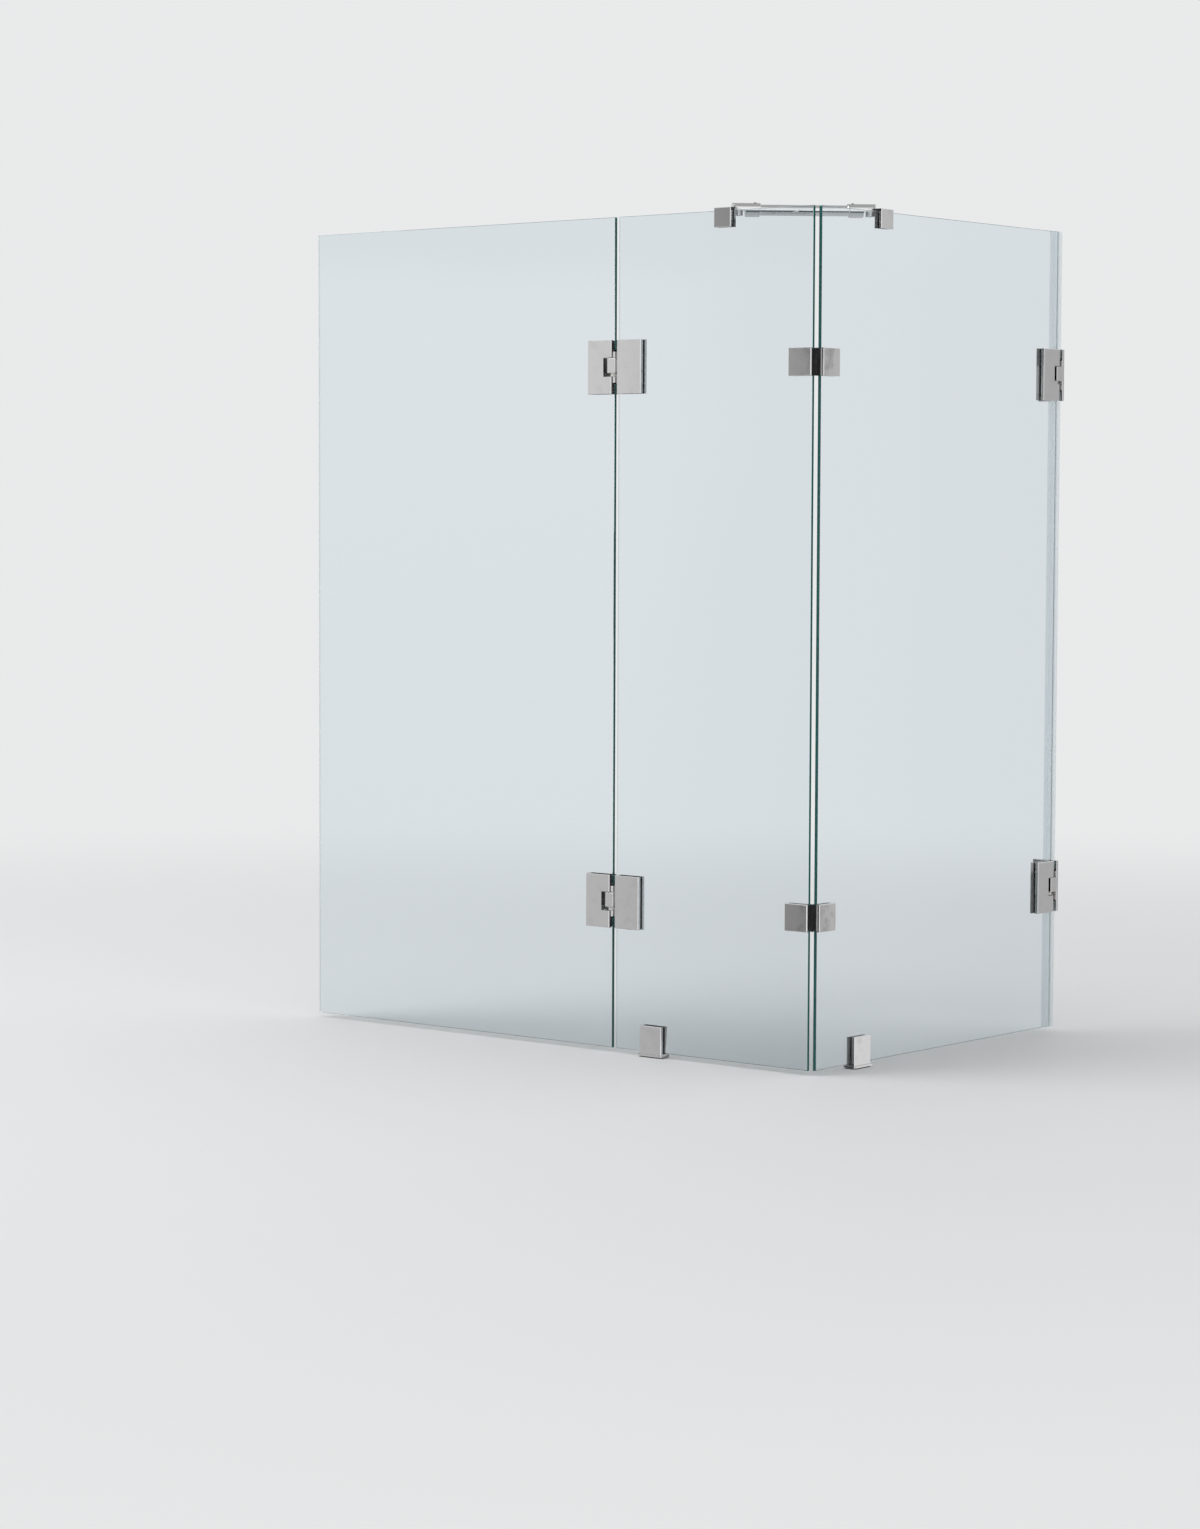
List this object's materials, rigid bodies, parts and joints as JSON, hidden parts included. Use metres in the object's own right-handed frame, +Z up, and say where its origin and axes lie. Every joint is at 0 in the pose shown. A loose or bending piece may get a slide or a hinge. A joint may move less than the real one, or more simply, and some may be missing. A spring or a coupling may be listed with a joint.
{
  "type": "folding bath screen",
  "caption": "Frameless glass bath screen: a swinging leaf on a middle pane, joined at a corner to a return pane hinged on the wall, with chrome fittings.",
  "frame": {"origin": "on the wall face, straight below the wall hinges' axis, level with the bath rim's top face", "axes": "+Z up; +Y into the wall; the return pane runs from the wall towards -Y, the middle pane and the leaf towards -X; the bath lies on the -X, +Y side of the panes"},
  "size_m": [1.1155, 0.7345, 1.4217],
  "materials": {
    "glass": "clear toughened",
    "chrome": "bright chromed brass",
    "steel": "stainless",
    "rubber": "matt black",
    "nylon": "white nylon",
    "clear_pvc": "clear soft PVC"
  },
  "bodies": {
    "wall": {"upper_wall_bracket": "chrome", "lower_wall_bracket": "chrome", "return_hinge_bushes": "nylon"},
    "screen": {"return_glass": "glass", "middle_glass": "glass", "upper_return_outer_plate": "chrome", "upper_return_inner_plate": "chrome", "upper_return_core": "chrome", "upper_return_pin": "steel", "lower_return_outer_plate": "chrome", "lower_return_inner_plate": "chrome", "lower_return_core": "chrome", "lower_return_pin": "steel", "return_hinge_gaskets": "rubber", "return_hinge_screws": "steel", "upper_middle_outer_plate": "chrome", "upper_middle_inner_plate": "chrome", "upper_leaf_knuckle": "chrome", "lower_middle_outer_plate": "chrome", "lower_middle_inner_plate": "chrome", "lower_leaf_knuckle": "chrome", "middle_hinge_gaskets": "rubber", "middle_hinge_screws": "steel", "leaf_hinge_bushes": "nylon", "upper_corner_middle_plate": "chrome", "upper_corner_return_plate": "chrome", "upper_corner_bracket": "chrome", "lower_corner_middle_plate": "chrome", "lower_corner_return_plate": "chrome", "lower_corner_bracket": "chrome", "corner_gaskets": "rubber", "corner_screws": "steel", "middle_foot_body": "chrome", "return_foot_body": "chrome", "middle_foot_pad": "rubber", "return_foot_pad": "rubber", "foot_gaskets": "rubber", "foot_screws": "steel", "brace_tube": "chrome", "middle_brace_sleeve": "chrome", "return_brace_sleeve": "chrome", "middle_brace_clamp": "chrome", "return_brace_clamp": "chrome", "brace_gaskets": "rubber", "brace_screws": "steel", "wall_seal": "clear_pvc"},
    "leaf": {"leaf_glass": "glass", "upper_leaf_outer_plate": "chrome", "upper_leaf_inner_plate": "chrome", "upper_leaf_core": "chrome", "upper_leaf_pin": "steel", "lower_leaf_outer_plate": "chrome", "lower_leaf_inner_plate": "chrome", "lower_leaf_core": "chrome", "lower_leaf_pin": "steel", "leaf_hinge_gaskets": "rubber", "leaf_hinge_screws": "steel"}
  },
  "joints": [
    {"name": "return_swing", "type": "hinge", "parent": "wall", "child": "screen", "pos_m": [0, -0.016, 0.708], "axis": [0, 0, 1], "range_deg": [-60, 90]},
    {"name": "leaf_swing", "type": "hinge", "parent": "screen", "child": "leaf", "pos_m": [-0.421, -0.722, 0.708], "axis": [0, 0, 1], "range_deg": [-90, 90]}
  ]
}
